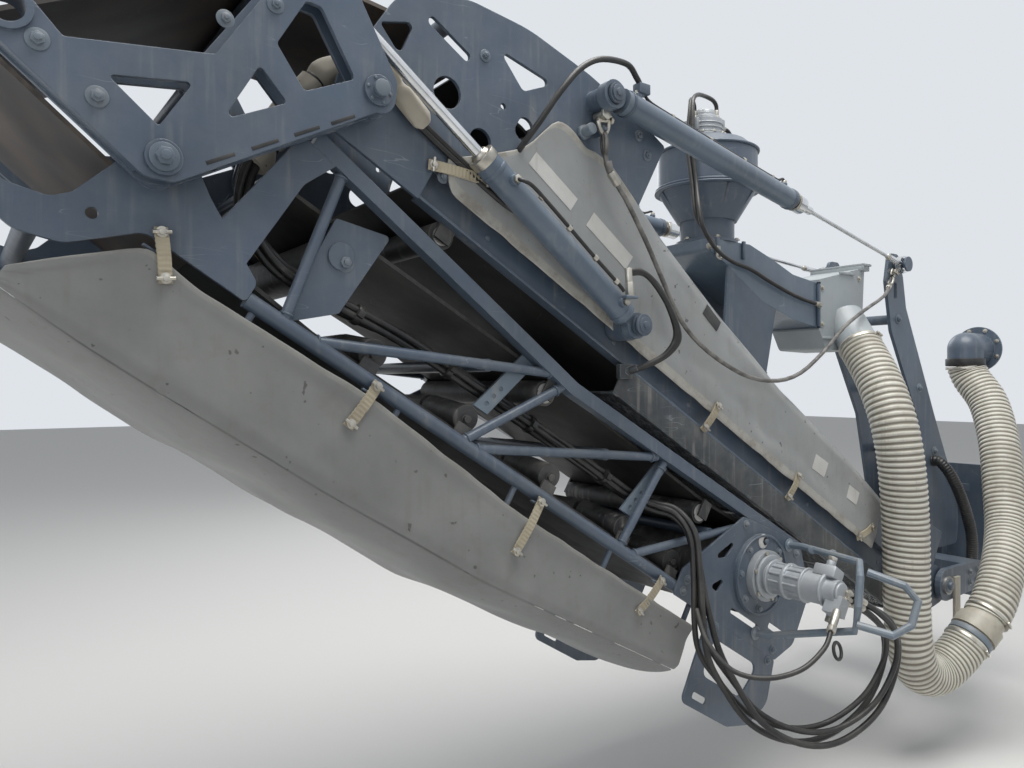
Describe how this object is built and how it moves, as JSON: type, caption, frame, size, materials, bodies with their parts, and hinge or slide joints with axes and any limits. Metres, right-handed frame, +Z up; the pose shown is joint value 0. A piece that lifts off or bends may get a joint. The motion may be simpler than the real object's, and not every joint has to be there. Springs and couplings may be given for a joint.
{
  "type": "folding discharge conveyor",
  "caption": "Folding discharge conveyor of a road milling machine: slewing console, mast, two hinged belt sections, link plates, lift and fold cylinders, covers, fan and suction hoses.",
  "frame": {"origin": "centre of the rear face of the slewing console's bolted back plate", "axes": "-X out along the conveyor, away from the machine; -Y to the side that the picture shows; +Z up"},
  "size_m": [4.603, 1.4258, 2.4224],
  "materials": {
    "frame_paint": "satin dark blue-grey paint, dusty",
    "guard_paint": "worn lighter blue-grey paint",
    "mesh_paint": "dark painted perforated sheet",
    "box_paint": "light grey paint",
    "pin_steel": "bare turned steel",
    "rod_chrome": "polished hard chrome",
    "motor_alloy": "cast, silver grey, dusty",
    "roller_steel": "dark rollers with bright worn ends",
    "belt_rubber": "worn black rubber",
    "cover_fabric": "mid-grey coated canvas",
    "hose_cream": "cream ribbed suction hose",
    "hose_black": "matt black hydraulic hose",
    "sleeve_fabric": "tan protective sleeve",
    "rope_steel": "greased wire rope"
  },
  "bodies": {
    "base": {"console": "frame_paint", "slew_pins": "pin_steel", "duct_inlet": "frame_paint", "suction_hose_lower": "hose_cream"},
    "slew": {"slew_frame": "frame_paint", "mast": "frame_paint", "foot_pins": "pin_steel", "hose_coupling": "hose_cream", "harness_hose": "hose_black"},
    "inner": {"inner_rails": "frame_paint", "inner_cheeks": "frame_paint", "inner_cross_tubes": "frame_paint", "inner_carrying_idlers": "roller_steel", "inner_return_rollers": "roller_steel", "tail_drum": "roller_steel", "inner_belt": "belt_rubber", "inner_hoops": "frame_paint", "inner_cover": "cover_fabric", "mesh_guard": "mesh_paint", "feed_hopper": "frame_paint", "fan_bridge": "frame_paint", "fan_housing": "frame_paint", "fan_motor": "motor_alloy", "fan_duct": "frame_paint", "duct_box": "box_paint", "suction_hose_upper": "hose_cream", "safety_rope": "rope_steel"},
    "fold_barrels": {"fold_barrels": "frame_paint"},
    "fold_rods": {"fold_rods": "rod_chrome"},
    "lift_barrel_near": {"lift_barrel_near": "frame_paint"},
    "lift_barrel_far": {"lift_barrel_far": "frame_paint"},
    "lift_rod_near": {"lift_rod_near": "rod_chrome"},
    "lift_rod_far": {"lift_rod_far": "rod_chrome"},
    "link": {"link_near": "frame_paint", "link_far": "frame_paint", "link_tubes": "frame_paint", "fold_belt": "belt_rubber"},
    "outer": {"outer_trusses": "frame_paint", "outer_arms": "frame_paint", "outer_cross_tubes": "frame_paint", "head_plates": "frame_paint", "head_drum": "roller_steel", "drive_motor": "motor_alloy", "motor_guard": "guard_paint", "outer_carrying_idlers": "roller_steel", "outer_return_rollers": "roller_steel", "outer_belt": "belt_rubber", "outer_hoops": "frame_paint", "outer_cover": "cover_fabric", "head_shield": "frame_paint", "hose_clamps": "guard_paint", "hose_bundle": "hose_black", "hose_sleeve": "sleeve_fabric"}
  },
  "joints": [
    {"name": "slewing", "type": "hinge", "parent": "base", "child": "slew", "pos_m": [-0.25, 0, 0], "axis": [0, 0, 1], "range_deg": [-30, 30], "deforming": ["suction_hose_lower"]},
    {"name": "luffing", "type": "hinge", "parent": "slew", "child": "inner", "pos_m": [-0.83, 0, -0.13], "axis": [0, 1, 0], "range_deg": [-14, 0], "deforming": ["suction_hose_upper", "safety_rope"]},
    {"name": "fold_lead", "type": "hinge", "parent": "inner", "child": "link", "pos_m": [-3.742, 0, 1.488], "axis": [0, 1, 0], "range_deg": [0, 90], "deforming": ["fold_belt", "hose_sleeve"]},
    {"name": "fold_tail", "type": "hinge", "parent": "link", "child": "outer", "pos_m": [-4.211, 0, 1.25], "axis": [0, 1, 0], "range_deg": [0, 90]},
    {"name": "fold_barrel_swing", "type": "hinge", "parent": "inner", "child": "fold_barrels", "pos_m": [-2.872, 0, 0.977], "axis": [0, 1, 0], "range_deg": [0, 8.45]},
    {"name": "fold_rod_slide", "type": "slide", "parent": "fold_barrels", "child": "fold_rods", "axis": [0.8002, 0, -0.5997], "range_m": [0, 0.348]},
    {"name": "lift_near_swing", "type": "hinge", "parent": "inner", "child": "lift_barrel_near", "pos_m": [-2.985, -0.466, 1.647], "axis": [-0.1394, 0.175, -0.9747], "range_deg": [0, 1]},
    {"name": "lift_near_slide", "type": "slide", "parent": "lift_barrel_near", "child": "lift_rod_near", "axis": [0.9857, 0.1191, -0.1195], "range_m": [0, 0.367]},
    {"name": "lift_far_swing", "type": "hinge", "parent": "inner", "child": "lift_barrel_far", "pos_m": [-2.985, 0.466, 1.647], "axis": [0.1394, 0.175, 0.9747], "range_deg": [0, 1]},
    {"name": "lift_far_slide", "type": "slide", "parent": "lift_barrel_far", "child": "lift_rod_far", "axis": [0.9857, -0.1191, -0.1195], "range_m": [0, 0.367]}
  ],
  "couplings": [
    {"joint": "fold_tail", "follows": "fold_lead", "ratio": 1},
    {"joint": "fold_barrel_swing", "follows": "fold_lead", "ratio": 0.09354},
    {"joint": "fold_rod_slide", "follows": "fold_lead", "m_per_rad": 0.22138},
    {"joint": "lift_near_swing", "follows": "luffing", "ratio": -0.070644},
    {"joint": "lift_far_swing", "follows": "luffing", "ratio": -0.070644},
    {"joint": "lift_near_slide", "follows": "luffing", "m_per_rad": -1.499},
    {"joint": "lift_far_slide", "follows": "luffing", "m_per_rad": -1.499}
  ]
}
